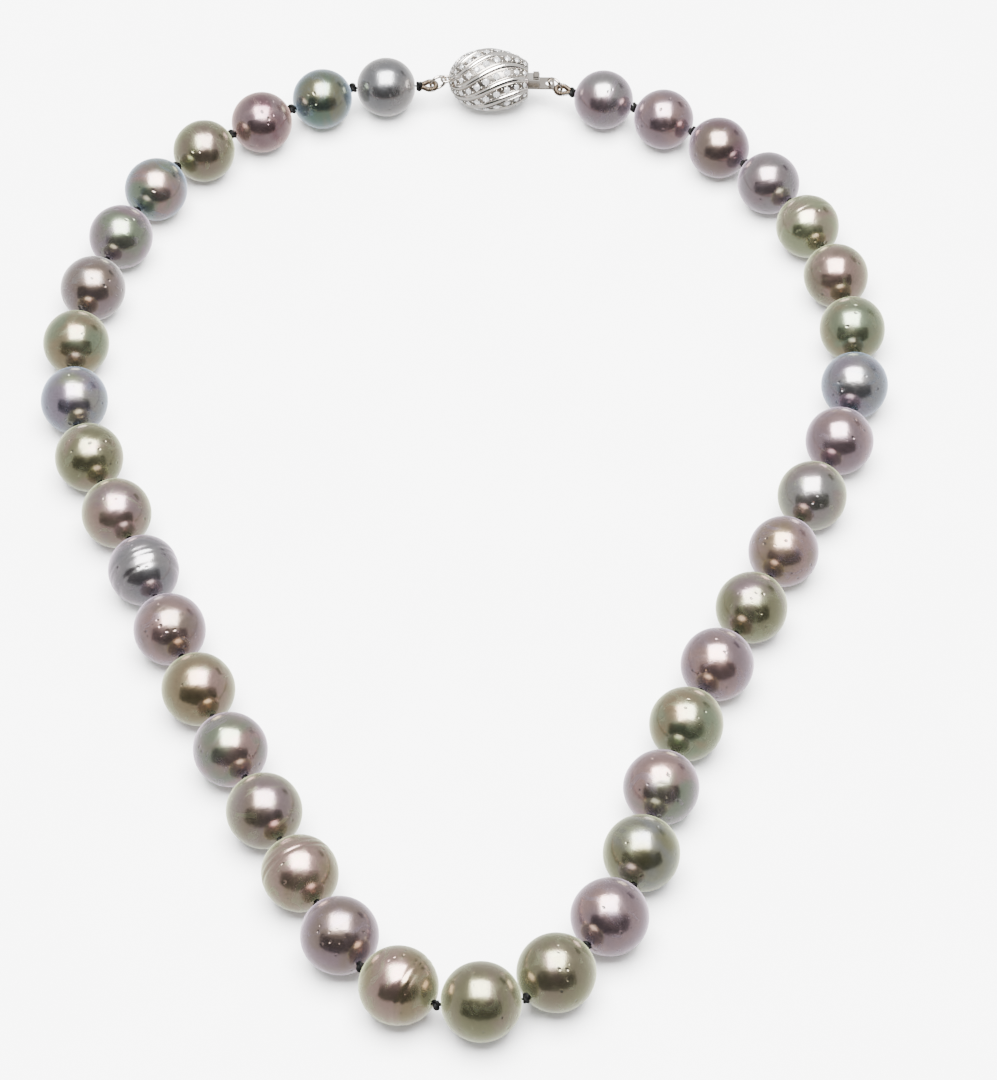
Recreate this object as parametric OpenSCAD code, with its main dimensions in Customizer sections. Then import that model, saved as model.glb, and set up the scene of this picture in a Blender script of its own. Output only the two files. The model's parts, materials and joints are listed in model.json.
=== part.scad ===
// Knotted, graduated pearl necklace with a pave-set ball clasp, laid closed on a flat surface.
// Origin: on the resting surface, under the middle of the loop. +Z up, +Y from front pearl to clasp.

/* [Pearls] */
// Diameter of the two smallest pearls, next to the clasp
pearl_end_d = 9.2; // [8.8:0.1:9.3]
// Diameter of the largest pearl, at the front
pearl_front_d = 11.7; // [11.2:0.1:11.9]
// Diameter of the hole drilled through each pearl
drill_d = 0.9; // [0.8:0.1:1.2]

/* [Silk] */
// Diameter of the doubled silk thread
thread_d = 0.6; // [0.4:0.1:0.6]
// Diameter of a knot between two pearls
knot_d = 1.7; // [1.2:0.1:1.9]
// Outer diameter of the wire coil that guards the thread at each ring
gimp_d = 0.8; // [0.7:0.05:0.85]

/* [Clasp] */
// Widest diameter of the clasp ball, over its polished ribs
ball_d = 9.9; // [9.6:0.1:10.4]
// Number of stone-set bands, with a polished rib between each two
bands = 10; // [8:1:12]
// Stones in each band
stones_per_band = 10; // [6:1:10]
// How far the ribs wind round the ball from pole to mouth, in degrees
rib_twist = 80; // [0:5:110]
// Width of the tongue
tongue_w = 2.4; // [2.2:0.1:2.6]
// Outer diameter of the two link rings
ring_d = 3.0; // [2.9:0.05:3.1]

/* [Hidden] */
$fn = 64;
eps = 0.01;

// Colours
silk_colour = "#1c1a1a";
metal_colour = "#d9d6d0";
stone_colour = "#eef2f6";
gimp_colour = "#8f8478";
pearl_colours = ["#6d6a6e", "#4f5f57", "#5a5058", "#5f6350", "#6b6660", "#546068"];

// The strand is counted from the ball end of the clasp round to its tongue end.
left_count = 19;
right_count = 18;
pearl_count = left_count + 1 + right_count;
front = left_count + 1;

function pad(k) = k < 10 ? str("0", k) : str(k);
function pearl_name(k) = str("pearl_", pad(k));

// ---- Clasp layout, in the clasp's own frame: X runs from the ball's closed pole to the tongue ----
ball_r = ball_d / 2;
pole_reach = 6.25;                     // half-length of the ball on its closed side
mouth_stretch = 7.5;                   // half-length that the mouth side would have if it closed too
pole_angle = -83;                      // where the outline starts, from the widest circle
mouth_angle = 56;                      // where it is cut off at the mouth
mouth_x = mouth_stretch * sin(mouth_angle);
clasp_at = [4.2, 88.1];
clasp_yaw = -2;
clasp_z = ball_r;

ring_wire_d = 0.45;
ring_r = (ring_d - ring_wire_d) / 2;   // to the middle of the wire
eye_wire_d = 0.42;
eye_r = 0.6;
eye_x = -pole_reach - eye_r + 0.15;
plate_hole_x = 9.45;
plate_hole_d = 1.05;
ball_ring_yaw = 25;                    // how far each ring stands off the clasp's axis
jump_ring_yaw = -38;
ring_z = (clasp_z + pearl_end_d / 2) / 2;

function turned(p, a) = [p.x * cos(a) - p.y * sin(a), p.x * sin(a) + p.y * cos(a)];
function clasp_point(p) = clasp_at + turned(p, clasp_yaw);
function ring_far(hole_x, side, yaw) = [hole_x, 0] + side * 2 * ring_r * [cos(yaw), sin(yaw)];

left_end = clasp_point(ring_far(eye_x, -1, ball_ring_yaw));
right_end = clasp_point(ring_far(plate_hole_x, 1, jump_ring_yaw));

// ---- Route of the thread, seen from above ----
route = concat([left_end], [
    [-17, 87], [-27, 82.5], [-36, 77.5], [-44.5, 71], [-50.5, 62], [-58.5, 42],
    [-59.5, 30.5], [-58.5, 18.5], [-50, -2.5], [-42, -24.5], [-32.5, -46.5], [-22, -69],
    [-16, -80], [-5.5, -87], [7.5, -86.5], [16.5, -77.5], [23.5, -67], [26.5, -54],
    [33.5, -33.5], [44.5, -12], [54, 9.5], [58.5, 20], [59.5, 30.5], [58.5, 43],
    [51.5, 61], [43.5, 70.5], [36, 77], [26.5, 82.5]
], [right_end]);
spans = len(route) - 1;
span_steps = 12;

function route_point(i) =
    i < 0 ? 2 * route[0] - route[1] :
    i > spans ? 2 * route[spans] - route[spans - 1] : route[i];
function smooth(a, b, c, d, t) =
    (2 * b + (c - a) * t + (2 * a - 5 * b + 4 * c - d) * t * t + (3 * (b - c) + d - a) * t * t * t) / 2;
curve = [
    for (i = [0:spans - 1], s = [0:span_steps - 1])
        smooth(route_point(i - 1), route_point(i), route_point(i + 1), route_point(i + 2), s / span_steps),
    right_end
];
curve_end = len(curve) - 1;
function step_length(i) = i < curve_end ? norm(curve[i + 1] - curve[i]) : 0;
curve_length = [
    for (i = 0, total = 0; i <= curve_end; total = total + step_length(i), i = i + 1) total
];
route_length = curve_length[curve_end];

// The point of the curve at a distance s along it, found by halving
function piece_at(s, low, high) =
    high - low <= 1 ? low :
    let (middle = floor((low + high) / 2))
    curve_length[middle] <= s ? piece_at(s, middle, high) : piece_at(s, low, middle);
function along_route(s) =
    let (
        i = piece_at(s, 0, curve_end),
        share = (s - curve_length[i]) / step_length(i)
    )
    curve[i] + share * (curve[i + 1] - curve[i]);

// The distance along the curve of the next point that lies a straight length away from the one at s
function next_stop(s, length, guess, tries = 5) =
    tries == 0 ? guess :
    next_stop(s, length, guess + length - norm(along_route(guess) - along_route(s)), tries - 1);

// ---- Graduation and spacing ----
function pearl_d(k) =
    k <= front ? pearl_end_d + (pearl_front_d - pearl_end_d) * (k - 1) / left_count
               : pearl_end_d + (pearl_front_d - pearl_end_d) * (pearl_count - k) / right_count;

// Each pearl takes a straight link from knot to knot. The links are laid along the curve from its left end.
end_reach = 1.8;                       // from a ring's wire to the middle of the knot beside the end pearl
tighter_right = 0.15;                  // how much less room the knots of the right arm take
function link(k, gap) = pearl_d(k) + gap - (k > front ? tighter_right : 0);
function links(gap, k = pearl_count) = k == 0 ? 0 : link(k, gap) + links(gap, k - 1);
function after(s, k, gap) = k > pearl_count ? s : next_stop(s, link(k, gap), s + link(k, gap));
first_stop = next_stop(0, end_reach, end_reach);
function stops(gap) = [
    for (k = 1, s = first_stop; k <= pearl_count + 1; s = after(s, k, gap), k = k + 1) s
];
// What is left over at the right end, shared out over the knots until the loop closes
function left_over(gap) = norm(right_end - along_route(stops(gap)[pearl_count])) - end_reach;
first_gap = (route_length - 2 * end_reach - links(0)) / pearl_count - 0.05;
second_gap = first_gap + left_over(first_gap) / pearl_count;
knot_gap = second_gap + left_over(second_gap) / pearl_count;

// Knot k lies before pearl k, and its height is the mean of its two pearls' radii
function knot_z(k) = (pearl_d(max(k - 1, 1)) + pearl_d(min(k, pearl_count))) / 4;
knots = [
    for (k = [1:pearl_count + 1])
        let (p = along_route(stops(knot_gap)[k - 1]))
        [p.x, p.y, knot_z(k)]
];

// ---- Small helpers ----
// Puts its children at a point, with their Z axis turned towards a second point
module towards(from, to) {
    way = to - from;
    translate(from)
        rotate([0, acos(way.z / norm(way)), atan2(way.y, way.x)])
            children();
}

module rod(from, to, d) {
    towards(from, to)
        cylinder(d = d, h = norm(to - from));
}

module in_clasp() {
    translate([clasp_at.x, clasp_at.y, clasp_z])
        rotate([0, 0, clasp_yaw])
            children();
}

// ---- Strand ----
module pearl(k) {
    length = norm(knots[k] - knots[k - 1]);
    color(pearl_colours[k % len(pearl_colours)])
        towards(knots[k - 1], knots[k])
            translate([0, 0, length / 2])
                rotate_extrude()
                    difference() {
                        circle(d = pearl_d(k));
                        translate([drill_d / 2 - 2 * ball_d, -ball_d])
                            square(2 * ball_d);
                    }
}

// A knot is widest in its middle and tapers both ways, to clear its pearls where the strand bends
knot_length = 0.58 * knot_gap;
module knot() {
    hull() {
        cylinder(d = knot_d, h = knot_length * 0.3, center = true, $fn = 12);
        cylinder(d = knot_d * 0.55, h = knot_length, center = true, $fn = 12);
    }
}

function along(k) = knots[min(k, pearl_count)] - knots[max(k - 2, 0)];

// The thread turns round each ring's wire in a loop whose straight sides meet in the end knot
loop_r = 0.85;
loop_lean = asin(loop_r / end_reach);
side_length = sqrt(end_reach * end_reach - loop_r * loop_r);
loop_steps = 12;
// The loop's points from one straight side, round the wire and back. It keeps a share of each side.
function loop_path(share) =
    let (
        bend = [for (i = [0:loop_steps]) 90 - loop_lean + (180 + 2 * loop_lean) * i / loop_steps],
        turn = [for (a = bend) loop_r * [cos(a), sin(a)]],
        knot = [end_reach, 0]
    )
    concat(
        [turn[0] + share * (knot - turn[0])],
        turn,
        [turn[loop_steps] + share * (knot - turn[loop_steps])]
    );

// One ring of a tube's skin for each point of a flat path, square to the path's local direction
function tube_rings(path, r, sides) = [
    for (i = [0:len(path) - 1])
        let (
            way = path[min(i + 1, len(path) - 1)] - path[max(i - 1, 0)],
            across = [-way.y, way.x] / norm(way)
        )
        for (j = [0:sides - 1])
            let (a = 360 * j / sides)
            [path[i].x + r * cos(a) * across.x, path[i].y + r * cos(a) * across.y, r * sin(a)]
];
// The skin's faces, seen from outside, or from inside when flipped
function tube_faces(rings, sides, first, flip) = [
    for (i = [0:rings - 2], j = [0:sides - 1])
        let (
            a = first + i * sides + j, b = first + i * sides + (j + 1) % sides,
            quad = [a, b, b + sides, a + sides]
        )
        for (f = [[quad[0], quad[1], quad[2]], [quad[0], quad[2], quad[3]]])
            flip ? f : [f[2], f[1], f[0]]
];

module tube(path, d, sides) {
    rings = len(path);
    polyhedron(tube_rings(path, d / 2, sides), concat(
        tube_faces(rings, sides, 0, false),
        [[for (j = [0:sides - 1]) j]],
        [[for (j = [0:sides - 1]) rings * sides - 1 - j]]
    ));
}

// A tube with a bore, and a flat ring of faces at each end
module hollow_tube(path, d, bore, sides) {
    rings = len(path);
    inner = rings * sides;
    last = (rings - 1) * sides;
    polyhedron(concat(tube_rings(path, d / 2, sides), tube_rings(path, bore / 2, sides)), concat(
        tube_faces(rings, sides, 0, false),
        tube_faces(rings, sides, inner, true),
        [for (j = [0:sides - 1])
            let (k = (j + 1) % sides)
            for (f = [
                [inner + k, inner + j, j], [k, inner + k, j],
                [inner + last + j, inner + last + k, last + k], [last + j, inner + last + j, last + k]
            ]) f]
    ));
}

// Moves a loop from its own frame, ring wire at the origin and knot along +X, to one end of the strand
module at_end(end, first_knot) {
    away = first_knot - [end.x, end.y, first_knot.z];
    translate([end.x, end.y, first_knot.z])
        rotate([0, 0, atan2(away.y, away.x)])
            children();
}

module silk_thread() {
    color(silk_colour) {
        for (k = [1:pearl_count])
            rod(knots[k - 1], knots[k], thread_d, $fn = 8);
        for (k = [1:pearl_count + 1])
            towards(knots[k - 1], knots[k - 1] + along(k))
                knot();
        at_end(left_end, knots[0])
            tube(loop_path(0.9), thread_d * 0.6, 8);
        at_end(right_end, knots[pearl_count])
            tube(loop_path(0.9), thread_d * 0.6, 8);
    }
}

// The gimp: a close coil of fine wire over the thread loop, drawn as a tube that stops where its sides meet
gimp_bore = 0.5;
gimp_share = 1 - (gimp_d / 2 + 0.04) / (loop_r * cos(loop_lean));
module gimp() {
    color(gimp_colour)
        hollow_tube(loop_path(gimp_share), gimp_d, gimp_bore, 12);
}

module gimp_left() {
    at_end(left_end, knots[0])
        gimp();
}

module gimp_right() {
    at_end(right_end, knots[pearl_count])
        gimp();
}

// ---- Rings: each stands upright, through a hole at the clasp and through a gimp loop ----
module ring(hole_x, side, yaw) {
    middle = [hole_x, 0] + side * ring_r * [cos(yaw), sin(yaw)];
    color(metal_colour)
        in_clasp()
            translate([middle.x, middle.y, ring_z - clasp_z])
                rotate([90, 0, yaw])
                    rotate_extrude()
                        translate([ring_r, 0])
                            circle(d = ring_wire_d);
}

module ball_ring() {
    ring(eye_x, -1, ball_ring_yaw);
}

module jump_ring() {
    ring(plate_hole_x, 1, jump_ring_yaw);
}

// ---- Clasp ball ----
// Outline of the ball at an angle from its widest circle: [distance along X, radius]
function outline(a) = [(a < 0 ? pole_reach : mouth_stretch) * sin(a), ball_r * cos(a)];
// Ribs wind fastest at the pole and run straight at the mouth
function rib_turn(a) = rib_twist * sin(90 * (outline(a).x + pole_reach) / (mouth_x + pole_reach));

// One band and one rib in cross-section: [share of the pitch, depth below the rib's crest]
rib_section = [
    [0.00, 0.40], [0.06, 0.20], [0.30, 0.85], [0.54, 0.20],
    [0.60, 0.40], [0.68, 0.08], [0.80, 0.00], [0.92, 0.08]
];
band_middle = rib_section[2][0];
ball_rings = 24;
ball_sides = bands * len(rib_section);

function surface_point(a, share, depth) =
    let (o = outline(a), turn = 360 * share / bands - rib_turn(a), r = o[1] * (1 - depth / ball_r))
    [o[0], r * cos(turn), r * sin(turn)];

module ball_skin() {
    points = [
        for (i = [0:ball_rings - 1], j = [0:bands - 1], s = rib_section)
            surface_point(pole_angle + (mouth_angle - pole_angle) * i / (ball_rings - 1), j + s[0], s[1])
    ];
    polyhedron(points, concat(
        [[for (j = [0:ball_sides - 1]) j]],
        [[for (j = [0:ball_sides - 1]) ball_rings * ball_sides - 1 - j]],
        [for (i = [0:ball_rings - 2], j = [0:ball_sides - 1])
            let (a = i * ball_sides + j, b = i * ball_sides + (j + 1) % ball_sides)
            [a, a + ball_sides, b]],
        [for (i = [0:ball_rings - 2], j = [0:ball_sides - 1])
            let (a = i * ball_sides + j, b = i * ball_sides + (j + 1) % ball_sides)
            [b, a + ball_sides, b + ball_sides]]
    ));
}

// The tongue's room inside, and the slot in the mouth that it slides through
lip = 0.85;
chamber_r = 1.95;
chamber_start = -2.6;
slot_w = tongue_w + 0.6;               // room for the tongue to turn a little as it comes out
slot_low = -1.0;
slot_high = 0.45;
notch_w = 2.0;
notch_high = 1.3;
module tongue_room() {
    translate([chamber_start, 0, 0])
        rotate([0, 90, 0])
            cylinder(r = chamber_r, h = mouth_x - lip - chamber_start);
    translate([mouth_x - lip - eps, -slot_w / 2, slot_low])
        cube([lip + 1, slot_w, slot_high - slot_low]);
    translate([mouth_x - lip - eps, -notch_w / 2, slot_high - eps])
        cube([lip + 1, notch_w, notch_high - slot_high + eps]);
}

// A closed loop of wire that lies level, soldered to the pole
eye_steps = 20;
module eye() {
    for (i = [0:eye_steps - 1])
        hull()
            for (a = [i, i + 1] * 360 / eye_steps)
                translate([eye_r * cos(a), eye_r * sin(a), 0])
                    sphere(d = eye_wire_d, $fn = 12);
}

module clasp_ball() {
    color(metal_colour)
        in_clasp() {
            difference() {
                ball_skin();
                tongue_room();
            }
            translate([eye_x, 0, 0])
                eye();
        }
}

// Round stones: a flat table, a crown, a thin girdle and a pavilion, all in shares of the diameter
table = 0.58;
crown = 0.15;
girdle = 0.02;
pavilion = 0.4;
first_stone = -68;
last_stone = 50;
stone_sink = 0.24;                     // girdle below the rib crests, at the widest circle
function stone_d(a) = 9.6 / bands * 1.15 * cos(a);

module stone(d) {
    hull() {
        translate([0, 0, -girdle * d])
            cylinder(d = d, h = 2 * girdle * d, $fn = 8);
        cylinder(d = table * d, h = crown * d, $fn = 8);
        translate([0, 0, -pavilion * d])
            cylinder(d = 0.05 * d, h = 0.1 * d, $fn = 8);
    }
}

module pave_stones() {
    color(stone_colour)
        in_clasp()
            for (j = [0:bands - 1], i = [0:stones_per_band - 1]) {
                a = first_stone + (last_stone - first_stone) * i / (stones_per_band - 1);
                foot = surface_point(a, j + band_middle, stone_sink);
                steep = [ball_r * sin(a), (a < 0 ? pole_reach : mouth_stretch) * cos(a)];
                outward = [foot.y, foot.z] / norm([foot.y, foot.z]) * steep[1];
                towards(foot, foot + [steep[0], outward[0], outward[1]])
                    stone(stone_d(a));
            }
}

// ---- Tongue ----
// The plate slides in the ball and carries the jump ring; the leaf springs up from its fold and catches
// behind the mouth's lip; the tab on the leaf's neck is pressed to let it out.
fold_x = -1.6;
fold_r = 0.2;
plate_low = -0.85;
plate_t = 0.3;
plate_high = plate_low + plate_t;
double_end_x = mouth_x + 1.9;
module tongue_plate() {
    color(metal_colour)
        in_clasp()
            difference() {
                union() {
                    translate([0, 0, plate_low])
                        linear_extrude(plate_t)
                            polygon([
                                [fold_x, -tongue_w / 2], [10.3, -tongue_w / 2], [10.5, -tongue_w / 2 + 0.3],
                                [10.1, tongue_w / 2], [fold_x, tongue_w / 2]
                            ]);
                    // A second, shorter layer stiffens the plate where it leaves the mouth
                    translate([mouth_x - 0.3, -tongue_w / 2, plate_high - eps])
                        cube([double_end_x - mouth_x - 0.1, tongue_w, 0.2 + eps]);
                    translate([fold_x, tongue_w / 2, plate_low + fold_r])
                        rotate([90, 0, 0])
                            cylinder(r = fold_r, h = tongue_w);
                }
                translate([plate_hole_x, 0, plate_low - 1])
                    cylinder(d = plate_hole_d, h = 2);
            }
}

leaf_t = 0.25;
shoulder_x = mouth_x - lip - 0.2;
shoulder_z = 0.7;                      // underside of the leaf at its shoulder
neck_w = 1.5;
neck_end_x = double_end_x - 0.1;
leaf_start = [fold_x + 0.15, plate_high + 0.06];
module spring_leaf() {
    color(metal_colour)
        in_clasp() {
            rotate([90, 0, 0])
                translate([0, 0, -tongue_w / 2])
                    linear_extrude(tongue_w)
                        polygon([
                            leaf_start, [shoulder_x, shoulder_z], [shoulder_x, shoulder_z + leaf_t],
                            [leaf_start.x, leaf_start.y + leaf_t]
                        ]);
            translate([shoulder_x - 0.2, -neck_w / 2, shoulder_z])
                cube([neck_end_x - shoulder_x + 0.2, neck_w, leaf_t]);
        }
}

tab_length = 0.9;
tab_w = 1.4;
tab_h = 0.55;
module thumb_tab() {
    color(metal_colour)
        in_clasp()
            translate([neck_end_x - tab_length - 0.1, -tab_w / 2, shoulder_z + leaf_t])
                rotate([90, 0, 90])
                    linear_extrude(tab_length)
                        polygon([
                            [0, 0], [tab_w, 0], [tab_w, tab_h - 0.2], [tab_w - 0.2, tab_h],
                            [0.2, tab_h], [0, tab_h - 0.2]
                        ]);
}

for (k = [1:pearl_count])
    pearl(k);
silk_thread();
gimp_left();
gimp_right();
ball_ring();
jump_ring();
clasp_ball();
pave_stones();
tongue_plate();
spring_leaf();
thumb_tab();
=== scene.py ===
"""Looks of a knotted pearl necklace: dark nacre, black silk, wire gimps and a stone-set ball clasp."""

import json
import math
import random

import bpy
from mathutils import Matrix, Quaternion, Vector, noise


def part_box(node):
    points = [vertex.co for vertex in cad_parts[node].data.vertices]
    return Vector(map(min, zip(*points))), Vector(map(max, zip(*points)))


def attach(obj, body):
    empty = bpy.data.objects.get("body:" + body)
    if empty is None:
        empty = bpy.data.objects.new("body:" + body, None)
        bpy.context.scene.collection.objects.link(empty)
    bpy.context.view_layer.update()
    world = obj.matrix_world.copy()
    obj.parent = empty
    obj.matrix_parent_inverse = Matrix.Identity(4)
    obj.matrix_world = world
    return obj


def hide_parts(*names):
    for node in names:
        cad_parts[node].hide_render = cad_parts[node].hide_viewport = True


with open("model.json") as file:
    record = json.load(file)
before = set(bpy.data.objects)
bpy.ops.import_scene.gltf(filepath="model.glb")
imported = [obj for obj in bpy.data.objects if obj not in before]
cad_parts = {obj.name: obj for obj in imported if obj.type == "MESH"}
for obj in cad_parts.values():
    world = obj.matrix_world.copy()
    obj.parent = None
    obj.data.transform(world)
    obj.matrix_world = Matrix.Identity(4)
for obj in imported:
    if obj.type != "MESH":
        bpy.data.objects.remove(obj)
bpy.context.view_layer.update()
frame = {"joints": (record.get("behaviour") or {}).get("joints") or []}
MM = 0.001
UP = Vector((0, 0, 1))

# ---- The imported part: joints give the knots and the clasp's holes, boxes give the pearls ----
JOINTS = {joint["name"]: Vector(joint["pos_m"]) for joint in frame["joints"]}
PEARLS = 38
FRONT = 20


def pearl_name(k):
    return f"pearl_{k:02d}"


def centre_of(node):
    low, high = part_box(node)
    return (low + high) / 2


def pearl_radius(k):
    low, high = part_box(pearl_name(k))
    return (high.z - low.z) / 2


def strand_knots():
    """Knot k lies before pearl k, and each pearl's middle is halfway between its two knots."""
    knots = {FRONT: JOINTS["left_arm_opens"], FRONT + 1: JOINTS["right_arm_opens"]}
    for k in range(FRONT - 1, 0, -1):
        knots[k] = 2 * centre_of(pearl_name(k)) - knots[k + 1]
    for k in range(FRONT + 1, PEARLS + 1):
        knots[k + 1] = 2 * centre_of(pearl_name(k)) - knots[k]
    return knots


def strand_body(k):
    """The body that the silk at a pearl moves with."""
    if k == FRONT:
        return "front"
    return "left_arm" if k < FRONT else "right_arm"


def pearl_body(k):
    return "front" if k == FRONT else pearl_name(k)


KNOTS = strand_knots()
BALL_END = JOINTS["ball_swings"]
TONGUE_END = JOINTS["tongue_swings"]
EYE = JOINTS["ball_ring_swings"]
PLATE_HOLE = JOINTS["jump_ring_swings"]


def turned_to(direction, side=UP):
    """A rotation that takes Z to a direction, with X as near to the side vector as it can be."""
    z = direction.normalized()
    x = (side - side.dot(z) * z).normalized()
    return Matrix((x, z.cross(x), z)).transposed()


# ---- Mesh helpers ----
def new_object(name, points, faces, material, place=None, smooth=True, sharp=40):
    mesh = bpy.data.meshes.new(name)
    mesh.from_pydata([tuple(p) for p in points], [], faces)
    mesh.validate()
    mesh.materials.append(material)
    for polygon in mesh.polygons:
        polygon.use_smooth = smooth
    if smooth and sharp:
        mesh.set_sharp_from_angle(angle=math.radians(sharp))
    made = bpy.data.objects.new(name, mesh)
    bpy.context.scene.collection.objects.link(made)
    if place is not None:
        made.matrix_world = place
    return made


def grid_faces(rows, columns, first=0, close_rows=False):
    """Quads between rings of points; each ring is closed, and the last row may join the first."""
    steps = rows if close_rows else rows - 1
    faces = []
    for i in range(steps):
        for j in range(columns):
            a = first + i * columns + j
            b = first + i * columns + (j + 1) % columns
            c = first + ((i + 1) % rows) * columns + (j + 1) % columns
            d = first + ((i + 1) % rows) * columns + j
            faces.append((a, b, c, d))
    return faces


def directions(path, closed):
    """The way that a path runs at each of its points."""
    count = len(path)
    ways = []
    for i in range(count):
        before = path[i - 1] if closed or i > 0 else path[i]
        after = path[(i + 1) % count] if closed or i < count - 1 else path[i]
        ways.append((after - before).normalized())
    return ways


def carried(ways, closed):
    """A side vector for each direction, carried along; a closed path's leftover turn is shared out."""
    side = ways[0].orthogonal().normalized()
    sides = []
    for way in ways:
        side = (side - side.dot(way) * way).normalized()
        sides.append(side)
    if not closed:
        return sides
    way = ways[0]
    last = (side - side.dot(way) * way).normalized()
    left_over = math.atan2(last.cross(sides[0]).dot(way), last.dot(sides[0]))
    return [Quaternion(w, left_over * i / len(ways)) @ s for i, (w, s) in enumerate(zip(ways, sides))]


class Shape:
    """Points and faces gathered from several parts into one mesh."""

    def __init__(self):
        self.points = []
        self.faces = []

    def add(self, points, faces):
        first = len(self.points)
        self.points += points
        self.faces += [tuple(first + i for i in face) for face in faces]

    def tube(self, path, radius, sides=8, closed=False):
        """A round tube along a path; its cross-section is carried along without twisting."""
        count = len(path)
        ways = directions(path, closed)
        starts = carried(ways, closed)
        rings = []
        for point, way, side in zip(path, ways, starts):
            across = way.cross(side)
            for j in range(sides):
                angle = math.tau * j / sides
                rings.append(point + radius * (math.cos(angle) * side + math.sin(angle) * across))
        faces = grid_faces(count, sides, close_rows=closed)
        if not closed:
            faces.append(tuple(reversed(range(sides))))
            faces.append(tuple(range((count - 1) * sides, count * sides)))
        self.add(rings, faces)

    def slab(self, outline, low, high, bevel):
        """A flat plate with a small chamfer round both faces. The outline runs anticlockwise."""
        count = len(outline)
        inner = inset(outline, bevel)
        rows = [(inner, low), (outline, low + bevel), (outline, high - bevel), (inner, high)]
        points = [Vector((x, y, z)) for row, z in rows for x, y in row]
        faces = grid_faces(4, count)
        faces.append(tuple(reversed(range(count))))
        faces.append(tuple(range(3 * count, 4 * count)))
        self.add(points, faces)

    def made(self, name, material, place=None, **options):
        return new_object(name, self.points, self.faces, material, place, **options)


def inset(outline, distance):
    """The outline moved inwards, each corner along the mean of its two sides."""
    result = []
    count = len(outline)
    for i, point in enumerate(outline):
        here = Vector(point)
        before = (here - Vector(outline[i - 1])).normalized()
        after = (Vector(outline[(i + 1) % count]) - here).normalized()
        inward = Vector((-before.y - after.y, before.x + after.x))
        size = inward.length_squared / 2
        result.append(here + inward * (distance / max(size, 0.5)))
    return result


# ---- Material helpers ----
class Look:
    """A material under construction: short calls add nodes and join them up."""

    def __init__(self, name):
        self.material = bpy.data.materials.new(name)
        self.material.use_nodes = True
        self.nodes = self.material.node_tree.nodes
        self.links = self.material.node_tree.links
        self.shader = self.nodes["Principled BSDF"]
        self.coordinates = self.nodes.new("ShaderNodeTexCoord").outputs["Object"]

    def set(self, **values):
        for name, value in values.items():
            self.shader.inputs[name.replace("_", " ")].default_value = value
        return self

    def feed(self, name, output):
        self.links.new(output, self.shader.inputs[name])

    def put(self, socket, value):
        if isinstance(value, bpy.types.NodeSocket):
            self.links.new(value, socket)
        else:
            socket.default_value = value

    def placed(self, location, rotation=(0, 0, 0), scale=(1, 1, 1)):
        node = self.nodes.new("ShaderNodeMapping")
        self.links.new(self.coordinates, node.inputs["Vector"])
        node.inputs["Location"].default_value = location
        node.inputs["Rotation"].default_value = rotation
        node.inputs["Scale"].default_value = scale
        return node.outputs["Vector"]

    def noise(self, vector, scale, detail=2.0, distortion=0.0):
        node = self.nodes.new("ShaderNodeTexNoise")
        self.links.new(vector, node.inputs["Vector"])
        node.inputs["Scale"].default_value = scale
        node.inputs["Detail"].default_value = detail
        node.inputs["Distortion"].default_value = distortion
        return node.outputs["Fac"]

    def cells(self, vector, scale, feature="F1"):
        node = self.nodes.new("ShaderNodeTexVoronoi")
        node.feature = feature
        self.links.new(vector, node.inputs["Vector"])
        node.inputs["Scale"].default_value = scale
        return node.outputs["Distance"]

    def spread(self, value, low, high, to_low=0.0, to_high=1.0):
        node = self.nodes.new("ShaderNodeMapRange")
        node.interpolation_type = "SMOOTHSTEP"
        self.put(node.inputs["Value"], value)
        node.inputs["From Min"].default_value = low
        node.inputs["From Max"].default_value = high
        node.inputs["To Min"].default_value = to_low
        node.inputs["To Max"].default_value = to_high
        return node.outputs["Result"]

    def sum(self, a, b, operation="ADD"):
        node = self.nodes.new("ShaderNodeMath")
        node.operation = operation
        self.put(node.inputs[0], a)
        self.put(node.inputs[1], b)
        return node.outputs["Value"]

    def mix(self, share, a, b, blend="MIX"):
        node = self.nodes.new("ShaderNodeMix")
        node.data_type = "RGBA"
        node.blend_type = blend
        self.put(node.inputs["Factor"], share)
        self.put(node.inputs["A"], a)
        self.put(node.inputs["B"], b)
        return node.outputs["Result"]

    def bump(self, height, strength, distance):
        node = self.nodes.new("ShaderNodeBump")
        node.inputs["Strength"].default_value = strength
        node.inputs["Distance"].default_value = distance
        self.links.new(height, node.inputs["Height"])
        self.feed("Normal", node.outputs["Normal"])


def colour(red, green, blue):
    return (red, green, blue, 1.0)


# ---- Nacre ----
SILVER = colour(0.225, 0.215, 0.212)
STEEL = colour(0.180, 0.182, 0.190)
GREEN = colour(0.165, 0.200, 0.130)
PEACOCK = colour(0.085, 0.145, 0.100)
PISTACHIO = colour(0.255, 0.275, 0.165)
BRONZE = colour(0.225, 0.165, 0.098)
OLIVE = colour(0.165, 0.155, 0.088)
ROSE = colour(0.290, 0.185, 0.165)
MAUVE = colour(0.225, 0.160, 0.172)
LILAC = colour(0.235, 0.190, 0.235)
AUBERGINE = colour(0.145, 0.075, 0.090)
BLUE = colour(0.150, 0.190, 0.245)
BROWN = colour(0.190, 0.140, 0.112)

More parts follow.
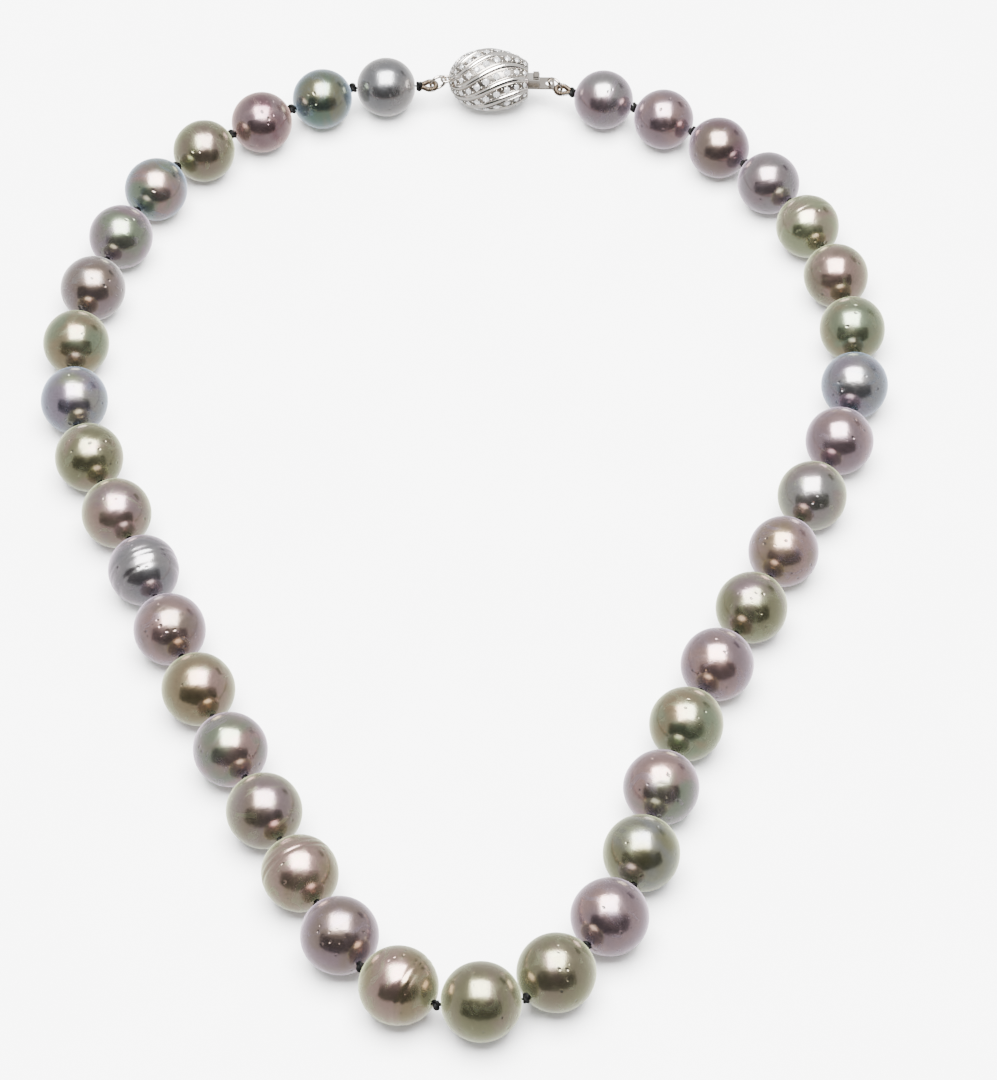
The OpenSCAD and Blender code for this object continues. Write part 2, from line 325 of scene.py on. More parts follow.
# For each pearl: its body colour, its overtone and the colour at its rims
TONES = {
    1: (SILVER, STEEL, SILVER), 2: (OLIVE, PEACOCK, BLUE), 3: (MAUVE, AUBERGINE, ROSE),
    4: (OLIVE, BROWN, PISTACHIO), 5: (ROSE, GREEN, BLUE), 6: (MAUVE, GREEN, LILAC),
    7: (BROWN, MAUVE, SILVER), 8: (BRONZE, GREEN, PISTACHIO), 9: (LILAC, PISTACHIO, BLUE),
    10: (ROSE, OLIVE, PISTACHIO), 11: (MAUVE, ROSE, PISTACHIO), 12: (STEEL, SILVER, LILAC),
    13: (ROSE, BROWN, LILAC), 14: (ROSE, BRONZE, PISTACHIO), 15: (GREEN, ROSE, LILAC),
    16: (MAUVE, BROWN, PISTACHIO), 17: (BRONZE, ROSE, PISTACHIO), 18: (BROWN, MAUVE, LILAC),
    19: (BRONZE, ROSE, PISTACHIO), 20: (OLIVE, BROWN, PISTACHIO), 21: (BROWN, OLIVE, PISTACHIO),
    22: (ROSE, MAUVE, LILAC), 23: (OLIVE, STEEL, PISTACHIO), 24: (GREEN, ROSE, LILAC),
    25: (BRONZE, GREEN, PISTACHIO), 26: (MAUVE, ROSE, LILAC), 27: (OLIVE, MAUVE, PISTACHIO),
    28: (ROSE, BRONZE, LILAC), 29: (MAUVE, SILVER, PISTACHIO), 30: (ROSE, MAUVE, LILAC),
    31: (LILAC, SILVER, BLUE), 32: (BRONZE, GREEN, PISTACHIO), 33: (BROWN, ROSE, PISTACHIO),
    34: (PISTACHIO, ROSE, PISTACHIO), 35: (SILVER, MAUVE, LILAC), 36: (AUBERGINE, BROWN, LILAC),
    37: (MAUVE, ROSE, LILAC), 38: (SILVER, MAUVE, LILAC),
}
CIRCLED = {12: 3, 17: 3, 19: 2, 34: 2}      # pearls with grooves round the drill axis, and how many
ROUGH = {7: 1.0, 13: 0.8, 37: 0.7, 16: 0.5, 20: 0.4, 19: 0.4}    # how pitted a pearl is, from 0 to 1


def paler(tint):
    """The same hue at full brightness."""
    top = max(tint[:3])
    return colour(*(channel / top for channel in tint[:3]))


def nacre(k):
    """Layered pearl: colours flow round the drill axis under a clear gloss, with pits here and there, drawn
    darker as painted shade.
    """
    body, overtone, rim = TONES[k]
    look = Look(f"nacre_{k:02d}")
    place = look.placed((0.03 * k, -0.02 * k, 0.05 * k), (0.7 * k, 0.4 * k, 0), (1, 1, 1.5))
    drift = look.noise(place, 110, 2.0, 0.6)
    cloud = look.noise(place, 260, 3.0, 1.2)
    mixed = look.mix(look.spread(drift, 0.38, 0.62), body, overtone)
    mixed = look.mix(look.spread(cloud, 0.52, 0.75, 0.0, 0.55), mixed, rim)
    speck = look.noise(place, 5200, 2.0)
    mixed = look.mix(look.spread(speck, 0.35, 0.65, 0.0, 0.25), mixed, colour(0.05, 0.045, 0.045))
    pitted = ROUGH.get(k, 0.3)
    pits = look.cells(place, 620)
    marks = look.spread(pits, 0.08, 0.24, 1.0, 0.0)
    where = look.spread(look.noise(place, 230), 0.57 - 0.16 * pitted, 0.62 - 0.12 * pitted)
    pits_and_painted_shade = look.sum(marks, where, "MULTIPLY")
    # The pits are dents in the bump below and are also darkened in colour here: painted shade in the
    # dimples.
    mixed = look.mix(look.sum(pits_and_painted_shade, 0.6, "MULTIPLY"), mixed, colour(0.04, 0.035, 0.03))
    look.feed("Base Color", mixed)
    look.feed("Roughness", look.spread(cloud, 0.3, 0.7, 0.19, 0.28))
    ripple = look.sum(look.noise(place, 420, 2.0, 0.5), 0.5, "MULTIPLY")
    grain = look.sum(look.noise(place, 2600, 2.0), 0.04, "MULTIPLY")
    height = look.sum(look.sum(ripple, grain), look.sum(pits_and_painted_shade, 1.5, "MULTIPLY"), "SUBTRACT")
    look.bump(height, 0.45, 0.00016)
    look.set(Metallic=0.98, IOR=1.6, Coat_Weight=0.3, Coat_Roughness=0.06, Coat_IOR=1.5)
    look.set(Sheen_Weight=0.42, Sheen_Roughness=0.4, Sheen_Tint=paler(rim))
    look.set(Thin_Film_Thickness=330.0 + 12.0 * (k % 9), Thin_Film_IOR=1.35)
    return look.material


def pearl_shape(k, radius, rng):
    """The distance of the surface from the middle in a direction, with Z along the drill axis."""
    seat = Vector((3.1 * k, 1.7 * k, 0.9 * k))
    grooves = [(rng.uniform(-0.6, 0.6), rng.uniform(0.035, 0.06)) for _ in range(CIRCLED.get(k, 0))]
    dimples = []
    for _ in range(int(2 + 14 * ROUGH.get(k, 0.15))):
        way = Vector((rng.gauss(0, 1), rng.gauss(0, 1), rng.gauss(0, 1))).normalized()
        dimples.append((way, rng.uniform(0.05, 0.12), rng.uniform(0.004, 0.010)))

    def distance(way):
        share = 1 + 0.010 * noise.noise(way * 1.2 + seat)
        for height, width in grooves:
            share -= 0.012 * math.exp(-((way.z - height) / width) ** 2)
        for middle, width, depth in dimples:
            apart = (way - middle).length / width
            if apart < 3:
                share -= depth * math.exp(-apart * apart)
        share -= 0.03 * math.exp(-((1 - abs(way.z)) / 0.006))
        return radius * (share - 0.004)

    return distance


def make_pearl(k):
    """A pearl with a drilled hole right through: rings of points down the outside and back up the bore."""
    radius = pearl_radius(k)
    rng = random.Random(100 + k)
    distance = pearl_shape(k, radius, rng)
    bore = 0.45 * MM
    rows, columns = 72, 96
    first_angle = math.asin(bore / radius)
    points = []
    for i in range(rows):
        angle = first_angle + (math.pi - 2 * first_angle) * i / (rows - 1)
        for j in range(columns):
            turn = math.tau * j / columns
            across = math.sin(angle)
            way = Vector((across * math.cos(turn), across * math.sin(turn), math.cos(angle)))
            points.append(way * distance(way))
    for height in (-0.9, 0.9):
        for j in range(columns):
            turn = math.tau * j / columns
            inner = 0.9 * bore
            points.append(Vector((inner * math.cos(turn), inner * math.sin(turn), height * radius)))
    axis = KNOTS[k + 1] - KNOTS[k]
    place = Matrix.Translation(centre_of(pearl_name(k))) @ turned_to(axis).to_4x4()
    faces = [tuple(reversed(face)) for face in grid_faces(rows + 2, columns, close_rows=True)]
    pearl = new_object(f"nacre_pearl_{k:02d}", points, faces, nacre(k), place, sharp=60)
    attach(pearl, pearl_body(k))
    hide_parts(pearl_name(k))


# ---- Silk ----
def silk():
    look = Look("black_silk")
    place = look.placed((0, 0, 0))
    fibre = look.noise(place, 9000, 3.0, 1.0)
    dye = look.noise(place, 900, 2.0)
    blackish = look.mix(look.spread(dye, 0.3, 0.7), colour(0.002, 0.002, 0.002), colour(0.004, 0.004, 0.004))
    lit = colour(0.012, 0.011, 0.010)
    look.feed("Base Color", look.mix(look.spread(fibre, 0.6, 0.8, 0, 0.4), blackish, lit))
    look.feed("Roughness", look.spread(fibre, 0.3, 0.7, 0.45, 0.7))
    look.bump(fibre, 0.5, 0.00003)
    look.set(Specular_IOR_Level=0.08)
    return look.material


SILK = silk()


def overhand(size, length, turns_seed):
    """The doubled thread pulled into an overhand knot: a trefoil flattened along its length."""
    path = []
    steps = 60
    for i in range(steps):
        t = math.tau * i / steps
        x = math.sin(t) + 2 * math.sin(2 * t)
        y = math.cos(t) - 2 * math.cos(2 * t)
        z = -math.sin(3 * t)
        path.append(Vector((x * size / 6, y * size / 6, z * length / 2)))
    spin = Quaternion(UP, turns_seed)
    return [spin @ point for point in path]


def make_knot(k):
    """A knot, with the thread through the pearl that it moves with."""
    host = k if k <= FRONT else k - 1
    outward = KNOTS[k] - centre_of(pearl_name(host))
    along = outward.normalized()
    rng = random.Random(500 + k)
    shape = Shape()
    shape.tube(overhand(1.30 * MM, 0.50 * MM, rng.uniform(0, 6)), 0.24 * MM, 10, closed=True)
    shape.tube(overhand(0.80 * MM, 0.40 * MM, rng.uniform(0, 6)), 0.22 * MM, 10, closed=True)
    through = -2 * outward.length
    for side in (-1, 1):
        strand = []
        for i in range(25):
            z = through + (0.55 * MM - through) * i / 24
            turn = side * math.pi / 2 + z / (0.9 * MM) * math.tau / 4
            strand.append(Vector((0.12 * MM * math.cos(turn), 0.12 * MM * math.sin(turn), z)))
        shape.tube(strand, 0.14 * MM, 8)
    place = Matrix.Translation(KNOTS[k]) @ turned_to(along).to_4x4()
    knot = shape.made(f"silk_knot_{k:02d}", SILK, place, sharp=0)
    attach(knot, strand_body(host))
    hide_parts("silk_thread")


# ---- White gold and gimp wire ----
def metal(name, tint, rough, wear):
    look = Look(name)
    place = look.placed((0, 0, 0))
    cloud = look.noise(place, 500, 3.0, 0.8)
    scratches = look.noise(look.placed((0, 0, 0), (0.3, 0.2, 0.6), (1, 12, 12)), 1500, 3.0)
    darker = colour(tint[0] * wear, tint[1] * wear, tint[2] * wear)
    look.feed("Base Color", look.mix(look.spread(cloud, 0.3, 0.7), tint, darker))
    base_rough = look.spread(cloud, 0.3, 0.7, rough, rough + 0.08)
    scuffs = look.spread(scratches, 0.62, 0.72, 0.0, 0.10)
    look.feed("Roughness", look.sum(base_rough, scuffs))
    look.bump(look.sum(cloud, scratches), 0.06, 0.00004)
    look.set(Metallic=1.0)
    return look.material


WHITE_GOLD = metal("white_gold", colour(0.78, 0.74, 0.69), 0.10, 0.84)
# Rings, the ball's eye and the tongue get a darker copy of the white gold: painted shade.
PAINTED_SHADE_LINK_GOLD = metal("link_gold_painted_shade", colour(0.50, 0.455, 0.405), 0.14, 0.7)
# The sunk seats of the stones get a much darker copy of the white gold: painted shade in the seats.
PAINTED_SHADE_SEAT_GOLD = metal("seat_gold_painted_shade", colour(0.30, 0.275, 0.245), 0.24, 0.6)
GIMP_WIRE = metal("gimp_wire", colour(0.17, 0.13, 0.095), 0.30, 0.5)


def loop_frame(end, knot):
    """The frame of a thread loop: its middle at the ring's wire, X towards the knot, Z up."""
    x = Vector((knot.x - end.x, knot.y - end.y, 0)).normalized()
    turn = Matrix((x, UP.cross(x), UP)).transposed()
    return Matrix.Translation((end.x, end.y, knot.z)) @ turn.to_4x4()


LOOP_RADIUS = 0.85 * MM
END_REACH = 1.8 * MM


def loop_path(share, steps=60):
    """From one straight side, round the ring's wire and back along the other side."""
    lean = math.asin(LOOP_RADIUS / END_REACH)
    first = math.pi / 2 - lean
    bend = []
    for i in range(steps + 1):
        angle = first + (math.pi + 2 * lean) * i / steps
        bend.append(LOOP_RADIUS * Vector((math.cos(angle), math.sin(angle), 0)))
    knot = Vector((END_REACH, 0, 0))
    side = [i / 12 * share for i in range(12, 0, -1)]
    before = [bend[0] + s * (knot - bend[0]) for s in side]
    after = [bend[-1] + s * (knot - bend[-1]) for s in reversed(side)]
    return before + bend + after


def resampled(path, count):
    """Points at equal distances along a path."""
    lengths = [0.0]
    for a, b in zip(path, path[1:]):
        lengths.append(lengths[-1] + (b - a).length)
    result = []
    i = 0
    for n in range(count):
        wanted = lengths[-1] * n / (count - 1)
        while i < len(path) - 2 and lengths[i + 1] < wanted:
            i += 1
        span = max(lengths[i + 1] - lengths[i], 1e-12)
        result.append(path[i].lerp(path[i + 1], (wanted - lengths[i]) / span))
    return result


def coil(path, radius, turns, per_turn=12):
    """A helix round a flat path."""
    middle = resampled(path, turns * per_turn + 1)
    points = []
    for i, point in enumerate(middle):
        way = (middle[min(i + 1, len(middle) - 1)] - middle[max(i - 1, 0)]).normalized()
        across = Vector((-way.y, way.x, 0))
        angle = math.tau * i / per_turn
        points.append(point + radius * (math.cos(angle) * across + math.sin(angle) * UP))
    return points


def make_gimp(node, body, end, knot):
    place = loop_frame(end, knot)
    wire = Shape()
    wire.tube(coil(loop_path(0.72), 0.33 * MM, 24), 0.105 * MM, 6)
    gimp = wire.made(node + "_coil", GIMP_WIRE, place, sharp=0)
    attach(gimp, body)
    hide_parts(node)
    thread = Shape()
    thread.tube(resampled(loop_path(0.92), 40), 0.18 * MM, 8)
    core = thread.made(node + "_silk", SILK, place, sharp=0)
    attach(core, body)


# ---- Link rings ----
def make_ring(node, body, hole, end):
    """A wire ring that stands upright, through a hole at the clasp and a gimp loop, with its closed seam."""
    centre = centre_of(node)
    along = Vector((end.x - hole.x, end.y - hole.y, 0)).normalized()
    low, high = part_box(node)
    wire = 0.225 * MM
    radius = (high.z - low.z) / 2 - wire
    path = []
    steps = 64
    for i in range(steps):
        angle = math.tau * i / steps
        path.append(radius * (math.cos(angle) * along + math.sin(angle) * UP))
    shape = Shape()
    shape.tube(path, wire, 14, closed=True)
    seam = [path[i] for i in (14, 15, 16, 17)]
    shape.tube(seam, wire * 1.04, 14)
    ring = shape.made(node + "_wire", PAINTED_SHADE_LINK_GOLD, Matrix.Translation(centre))
    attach(ring, body)
    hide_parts(node)


# ---- Clasp ball ----
CLASP_X = (PLATE_HOLE - EYE).normalized()
CLASP_TURN = Matrix((CLASP_X, UP.cross(CLASP_X), UP)).transposed()
EYE_X = -6.70 * MM
CLASP_PLACE = Matrix.Translation(EYE - EYE_X * CLASP_X) @ CLASP_TURN.to_4x4()
BALL_R = 4.95 * MM
POLE_REACH = 6.25 * MM
MOUTH_STRETCH = 7.5 * MM
POLE_ANGLE = math.radians(-83)
MOUTH_ANGLE = math.radians(56)
MOUTH_X = MOUTH_STRETCH * math.sin(MOUTH_ANGLE)
BANDS = 10
STONES = 10
RIB_TWIST = math.radians(80)
RIB_START = 0.58            # share of the pitch where the polished rib begins; the stones lie before it


def outline(a):
    """Distance along the clasp's axis and radius at an angle from the ball's widest circle."""
    stretch = POLE_REACH if a < 0 else MOUTH_STRETCH
    return stretch * math.sin(a), BALL_R * math.cos(a)


def rib_turn(a):
    share = (outline(a)[0] + POLE_REACH) / (MOUTH_X + POLE_REACH)
    return RIB_TWIST * math.sin(math.pi / 2 * share)


def section_depth(share):
    """Depth below the rib's crest across one band and one rib, at the widest circle."""
    if share < RIB_START:
        across = share / RIB_START
        edge = min(across, 1 - across)
        return (0.42 if edge < 0.06 else 0.24 if edge < 0.14 else 0.34) * MM
    across = (share - RIB_START) / (1 - RIB_START) * 2 - 1
    return 0.40 * MM * abs(across) ** 2.6


def ball_point(a, share, extra=0.0):
    x, radius = outline(a)
    depth = (section_depth(share % 1.0) + extra) / BALL_R
    turn = math.tau * share / BANDS - rib_turn(a)
    radius *= 1 - depth
    return Vector((x, radius * math.cos(turn), radius * math.sin(turn)))


def band_point(a, share, depth):
    x, radius = outline(a)
    turn = math.tau * share / BANDS - rib_turn(a)
    radius *= 1 - depth / BALL_R
    return Vector((x, radius * math.cos(turn), radius * math.sin(turn)))


def in_band(point):
    """Whether a point of the ball's outside lies in the sunk seat of a row of stones."""
    stretch = POLE_REACH if point.x < 0 else MOUTH_STRETCH
    a = math.asin(max(-1, min(1, point.x / stretch)))
    turn = math.atan2(point.z, point.y) + rib_turn(a)
    share = (turn / math.tau * BANDS) % 1.0
    return 0.05 < share < RIB_START - 0.04 and POLE_ANGLE + 0.05 < a < MOUTH_ANGLE - 0.03


def outward_at(a, point):
    stretch = POLE_REACH if a < 0 else MOUTH_STRETCH
    round_way = Vector((0, point.y, point.z)).normalized()
    return (BALL_R * math.sin(a) * Vector((1, 0, 0)) + stretch * math.cos(a) * round_way).normalized()


def cut_with(target, shape):
    """Takes a closed shape away from a mesh."""
    cutter = shape.made("cutter", target.data.materials[0], target.matrix_world.copy(), smooth=False)
    modifier = target.modifiers.new("cut", "BOOLEAN")
    modifier.operation = "DIFFERENCE"
    modifier.object = cutter
    modifier.solver = "EXACT"
    bpy.context.view_layer.update()
    graph = bpy.context.evaluated_depsgraph_get()
    cut = bpy.data.meshes.new_from_object(target.evaluated_get(graph))
    target.modifiers.clear()
    target.data = cut
    bpy.data.objects.remove(cutter)


def box_shape(low, high):
    shape = Shape()
    ends = list(zip(low, high))
    points = [Vector((x, y, z)) for z in ends[2] for y in ends[1] for x in ends[0]]
    faces = [(0, 2, 3, 1), (4, 5, 7, 6), (0, 1, 5, 4), (2, 6, 7, 3), (0, 4, 6, 2), (1, 3, 7, 5)]
    shape.add(points, faces)
    return shape


def make_ball():
    rings, per_band = 84, 24
    sides = BANDS * per_band
    shape = Shape()
    points = []
    for i in range(rings):
        a = POLE_ANGLE + (MOUTH_ANGLE - POLE_ANGLE) * i / (rings - 1)
        for j in range(sides):
            points.append(ball_point(a, j / per_band))
    faces = [tuple(reversed(face)) for face in grid_faces(rings, sides)]
    faces.append(tuple(range(sides)))
    faces.append(tuple(reversed(range((rings - 1) * sides, rings * sides))))
    shape.add(points, faces)
    ball = shape.made("ball_ribs", WHITE_GOLD, CLASP_PLACE, sharp=30)
    chamber = Shape()
    wall = []
    for x in (-2.6 * MM, MOUTH_X - 0.85 * MM):
        for j in range(48):
            angle = math.tau * j / 48
            wall.append(Vector((x, 1.95 * MM * math.cos(angle), 1.95 * MM * math.sin(angle))))
    sides_of_wall = [tuple(reversed(face)) for face in grid_faces(2, 48)]
    chamber.add(wall, sides_of_wall + [tuple(range(48)), tuple(reversed(range(48, 96)))])
    cut_with(ball, chamber)
    inside, outside = MOUTH_X - 1.0 * MM, MOUTH_X + 1 * MM
    cut_with(ball, box_shape((inside, -1.5 * MM, -1.0 * MM), (outside, 1.5 * MM, 0.45 * MM)))
    cut_with(ball, box_shape((inside, -1.0 * MM, 0.3 * MM), (outside, 1.0 * MM, 1.3 * MM)))
    # Faces in the sunk seats take the darker gold: painted shade between the stones.
    ball.data.materials.append(PAINTED_SHADE_SEAT_GOLD)
    for polygon in ball.data.polygons:
        if in_band(polygon.center):
            polygon.material_index = 1
    finish_clasp_piece(ball, "clasp_ball")
    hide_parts("clasp_ball")
    eye = Shape()
    path = [Vector((EYE_X + 0.6 * MM * math.cos(t), 0.6 * MM * math.sin(t), 0))
            for t in [math.tau * i / 48 for i in range(48)]]
    eye.tube(path, 0.21 * MM, 12, closed=True)
    finish_clasp_piece(eye.made("ball_eye", PAINTED_SHADE_LINK_GOLD, CLASP_PLACE), "clasp_ball")


def finish_clasp_piece(piece, body):
    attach(piece, body)


def glass():
    look = Look("white_stones")
    place = look.placed((0, 0, 0))
    tint = look.noise(place, 700, 1.0)
    clear, grey = colour(0.97, 0.98, 1.0), colour(0.90, 0.91, 0.93)
    look.feed("Base Color", look.mix(look.spread(tint, 0.3, 0.7), clear, grey))
    look.feed("Roughness", look.spread(look.noise(place, 2400), 0.3, 0.8, 0.0, 0.05))
    look.set(IOR=2.2, Transmission_Weight=0.75)
    return look.material


def brilliant(shape, place, diameter):
    """A round brilliant: table, star and crown facets, girdle and pavilion."""
    r = diameter / 2
    table = [place @ Vector((0.56 * r * math.cos(t), 0.56 * r * math.sin(t), 0.32 * r))
             for t in [math.tau * (i + 0.5) / 8 for i in range(8)]]
    crown = [place @ Vector((0.80 * r * math.cos(t), 0.80 * r * math.sin(t), 0.17 * r))
             for t in [math.tau * i / 8 for i in range(8)]]
    girdle = [place @ Vector((r * math.cos(t), r * math.sin(t), z))
              for z in (0.02 * r, -0.02 * r) for t in [math.tau * i / 16 for i in range(16)]]
    culet = place @ Vector((0, 0, -0.8 * r))
    points = table + crown + girdle + [culet]
    faces = [tuple(range(8))]
    for i in range(8):
        j = (i + 1) % 8
        corner, next_corner = 8 + i, 8 + j
        low, middle, next_low = 16 + 2 * i, 17 + 2 * i, 16 + 2 * j
        faces.append((i, next_corner, j))
        faces.append((i, corner, middle, next_corner))
        faces.append((corner, low, middle))
        faces.append((next_corner, middle, next_low))
    for i in range(16):
        j = (i + 1) % 16
        faces.append((16 + i, 32 + i, 32 + j, 16 + j))
        faces.append((32 + i, 48, 32 + j))
    shape.add(points, faces)


def bead(shape, middle, radius):
    rows, columns = 6, 8
    points = []
    for i in range(rows):
        angle = math.pi * (i + 0.5) / rows
        for j in range(columns):
            turn = math.tau * j / columns
            points.append(middle + radius * Vector((
                math.sin(angle) * math.cos(turn), math.sin(angle) * math.sin(turn), math.cos(angle))))
    faces = grid_faces(rows, columns)
    faces.append(tuple(reversed(range(columns))))
    faces.append(tuple(range((rows - 1) * columns, rows * columns)))
    shape.add(points, faces)


def make_pave():
    first, last = math.radians(-68), math.radians(50)
    middle = RIB_START / 2
    stones = Shape()
    beads = Shape()
    for band in range(BANDS):
        for i in range(STONES):
            a = first + (last - first) * i / (STONES - 1)
            foot = band_point(a, band + middle, 0.22 * MM)
            place = Matrix.Translation(foot) @ turned_to(outward_at(a, foot), Vector((1, 0, 0))).to_4x4()
            brilliant(stones, place, 1.08 * MM * math.cos(a))
        for i in range(2 * STONES + 1):
            a = first + (last - first) * (i / 2 - 0.5) / (STONES - 1)
            if a < POLE_ANGLE or a > MOUTH_ANGLE:
                continue
            reach = 0.17 if i % 2 == 0 else 0.215
            for side in (-reach, reach):
                spot = band_point(a, band + middle + side, 0.20 * MM)
                bead(beads, spot, 0.14 * MM * max(math.cos(a), 0.35))
    stone_set = stones.made("pave_brilliants", glass(), CLASP_PLACE, smooth=False)
    finish_clasp_piece(stone_set, "clasp_ball")
    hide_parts("pave_stones")
    bead_set = beads.made("pave_beads", WHITE_GOLD, CLASP_PLACE, sharp=0)
    finish_clasp_piece(bead_set, "clasp_ball")


# ---- Tongue ----
TONGUE_W = 2.4 * MM
FOLD_X = -1.6 * MM
PLATE_LOW = -0.85 * MM
PLATE_HIGH = -0.55 * MM
HOLE_X = 9.45 * MM


def make_tongue():
    half = TONGUE_W / 2
    plate = Shape()
    tip = [(10.3 * MM, -half), (10.5 * MM, 0.3 * MM - half), (10.1 * MM, half)]
    edge = [(FOLD_X, -half)] + tip + [(FOLD_X, half)]
    plate.slab(edge, PLATE_LOW, PLATE_HIGH, 0.05 * MM)
    blank = plate.made("plate_blank", PAINTED_SHADE_LINK_GOLD, CLASP_PLACE, sharp=25)
    hole = Shape()
    ring = [(HOLE_X + 0.525 * MM * math.cos(t), 0.525 * MM * math.sin(t))
            for t in [math.tau * i / 32 for i in range(32)]]
    hole.slab(ring, -2 * MM, 1 * MM, 0.01 * MM)
    cut_with(blank, hole)
    blank.name = "tongue_blade"
    finish_clasp_piece(blank, "tongue")
    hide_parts("tongue_plate")
    double = Shape()
    start, end = MOUTH_X - 0.3 * MM, MOUTH_X + 1.5 * MM
    nose = [(end + 0.35 * MM * math.cos(t), half * math.sin(t))
            for t in [math.pi * (i / 8 - 0.5) for i in range(9)]]
    double.slab([(start, -half)] + nose + [(start, half)], PLATE_HIGH, PLATE_HIGH + 0.2 * MM, 0.04 * MM)
    fold = [Vector((FOLD_X, -half, PLATE_LOW + 0.2 * MM)), Vector((FOLD_X, half, PLATE_LOW + 0.2 * MM))]
    double.tube(fold, 0.2 * MM, 16)
    piece = double.made("tongue_double", PAINTED_SHADE_LINK_GOLD, CLASP_PLACE, sharp=25)
    finish_clasp_piece(piece, "tongue")


SHOULDER_X = MOUTH_X - 1.05 * MM
SHOULDER_Z = 0.7 * MM
LEAF_T = 0.25 * MM
NECK_END = MOUTH_X + 1.8 * MM


def make_leaf():
    """The leaf rises from the fold to the shoulder, then its neck runs level out of the mouth."""
    half = TONGUE_W / 2
    start_x, start_z = FOLD_X + 0.15 * MM, PLATE_HIGH + 0.06 * MM
    steps = 14
    points = []
    for i in range(steps + 1):
        share = i / steps
        x = start_x + (SHOULDER_X - start_x) * share
        rise = start_z + (SHOULDER_Z - start_z) * share ** 0.95
        for y, z in ((-half, rise), (half, rise), (half, rise + LEAF_T), (-half, rise + LEAF_T)):
            points.append(Vector((x, y, z)))
    leaf = Shape()
    faces = [tuple(reversed(face)) for face in grid_faces(steps + 1, 4)]
    leaf.add(points, faces + [(0, 1, 2, 3), tuple(reversed(range(4 * steps, 4 * steps + 4)))])
    neck = [(SHOULDER_X - 0.1 * MM, -0.75 * MM), (NECK_END, -0.75 * MM),
            (NECK_END, 0.75 * MM), (SHOULDER_X - 0.1 * MM, 0.75 * MM)]
    leaf.slab(neck, SHOULDER_Z, SHOULDER_Z + LEAF_T, 0.03 * MM)
    piece = leaf.made("leaf_strip", WHITE_GOLD, CLASP_PLACE, sharp=25)
    finish_clasp_piece(piece, "spring_leaf")
    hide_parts("spring_leaf")
    tab = Shape()
    low = SHOULDER_Z + LEAF_T - 0.02 * MM
    cushion = [(NECK_END - 1.0 * MM, -0.7 * MM), (NECK_END - 0.1 * MM, -0.7 * MM),
               (NECK_END - 0.1 * MM, 0.7 * MM), (NECK_END - 1.0 * MM, 0.7 * MM)]
    tab.slab(cushion, low, low + 0.55 * MM, 0.14 * MM)
    for i in range(3):
        x = NECK_END - (0.8 - 0.25 * i) * MM
        ridge = low + 0.53 * MM
        tab.tube([Vector((x, -0.5 * MM, ridge)), Vector((x, 0.5 * MM, ridge))], 0.05 * MM, 8)
    piece = tab.made("tab_pad", PAINTED_SHADE_LINK_GOLD, CLASP_PLACE, sharp=25)
    finish_clasp_piece(piece, "spring_leaf")
    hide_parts("thumb_tab")


# ---- The whole necklace ----
for number in range(1, PEARLS + 1):
    make_pearl(number)
for number in range(1, PEARLS + 2):
    make_knot(number)
make_gimp("gimp_left", "left_arm", BALL_END, KNOTS[1])
make_gimp("gimp_right", "right_arm", TONGUE_END, KNOTS[PEARLS + 1])
make_ring("ball_ring", "ball_ring", EYE, BALL_END)
make_ring("jump_ring", "jump_ring", PLATE_HOLE, TONGUE_END)
make_ball()
make_pave()
make_tongue()
make_leaf()


# ---- Studio ----
def make_floor():
    look = Look("white_sweep")
    grain = look.noise(look.placed((0, 0, 0)), 40, 3.0)
    light_white, dark_white = colour(0.93, 0.93, 0.93), colour(0.90, 0.90, 0.90)
    look.feed("Base Color", look.mix(look.spread(grain, 0.3, 0.7), light_white, dark_white))
    look.set(Roughness=0.8)
    size = 6.0
    corners = [Vector((x, y, 0)) for x, y in ((-size, -size), (size, -size), (size, size), (-size, size))]
    floor = new_object("floor", corners, [(0, 1, 2, 3)], look.material, smooth=False)
    floor.visible_glossy = False


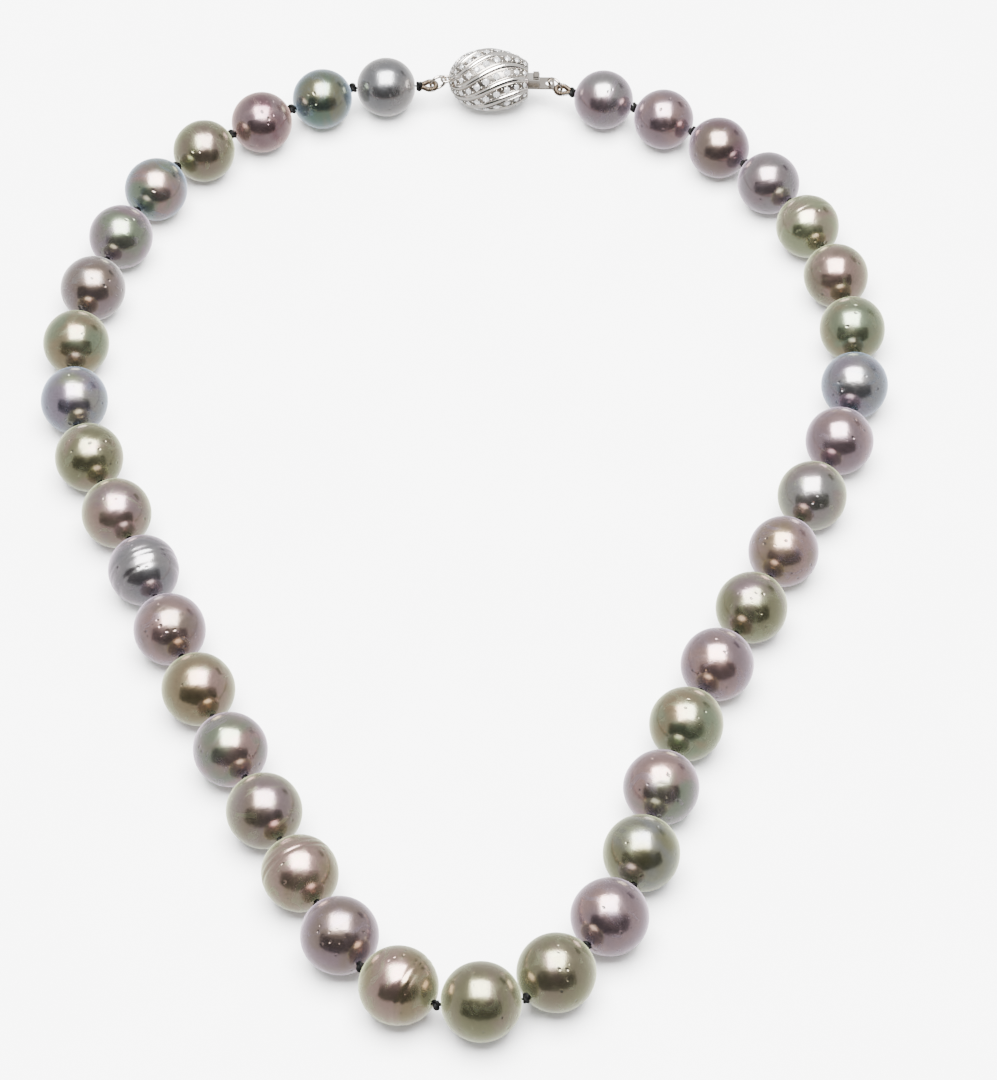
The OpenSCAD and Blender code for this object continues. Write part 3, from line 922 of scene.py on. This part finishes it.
def soft_box(name, place, target, width, depth, power):
    light = bpy.data.lights.new(name, "AREA")
    light.shape = "RECTANGLE"
    light.size = width
    light.size_y = depth
    light.energy = power
    made = bpy.data.objects.new(name, light)
    made.location = place
    made.rotation_euler = (Vector(target) - Vector(place)).to_track_quat("-Z", "Y").to_euler()
    bpy.context.scene.collection.objects.link(made)
    return made


def room(brightness):
    world = bpy.data.worlds.new("room")
    world.use_nodes = True
    world.node_tree.nodes["Background"].inputs["Color"].default_value = colour(1, 1, 1)
    world.node_tree.nodes["Background"].inputs["Strength"].default_value = brightness
    bpy.context.scene.world = world


def dark_card(name, middle, width, height):
    """A black card by the camera, seen only in reflections."""
    look = Look(name + "_black")
    look.set(Base_Color=colour(0.01, 0.01, 0.01), Roughness=0.9, Specular_IOR_Level=0.0)
    away = Vector((0, 0, 0)) - middle
    turn = turned_to(away, Vector((1, 0, 0))).to_4x4()
    x, y = width / 2, height / 2
    corners = [Vector(p) for p in ((-x, -y, 0), (x, -y, 0), (x, y, 0), (-x, y, 0))]
    place = Matrix.Translation(middle) @ turn
    card = new_object(name, corners, [(0, 1, 2, 3)], look.material, place, smooth=False)
    card.visible_camera = False
    card.visible_diffuse = False
    card.visible_shadow = False
    card.visible_transmission = False


def make_camera():
    data = bpy.data.cameras.new("camera")
    data.lens = 258.7
    data.sensor_width = 36
    data.clip_start = 0.05
    data.clip_end = 20
    camera = bpy.data.objects.new("camera", data)
    place = Vector((4.8, -711.7, 919.9)) * MM
    target = Vector((4.8, 0.9, 0)) * MM
    turn = (target - place).to_track_quat("-Z", "Y") @ Quaternion(UP, -0.01355)
    camera.matrix_world = Matrix.Translation(place) @ turn.to_matrix().to_4x4()
    bpy.context.scene.collection.objects.link(camera)
    bpy.context.scene.camera = camera


make_floor()
room(1.1)
soft_box("overhead", (0, 0.02, 1.1), (0, 0, 0), 1.0, 1.0, 120)
dark_card("front_card", Vector((0, -0.9, 0.52)), 3.2, 1.15)
dark_card("back_card", Vector((0.9, 0.72, 0.38)), 0.35, 0.3)
make_camera()
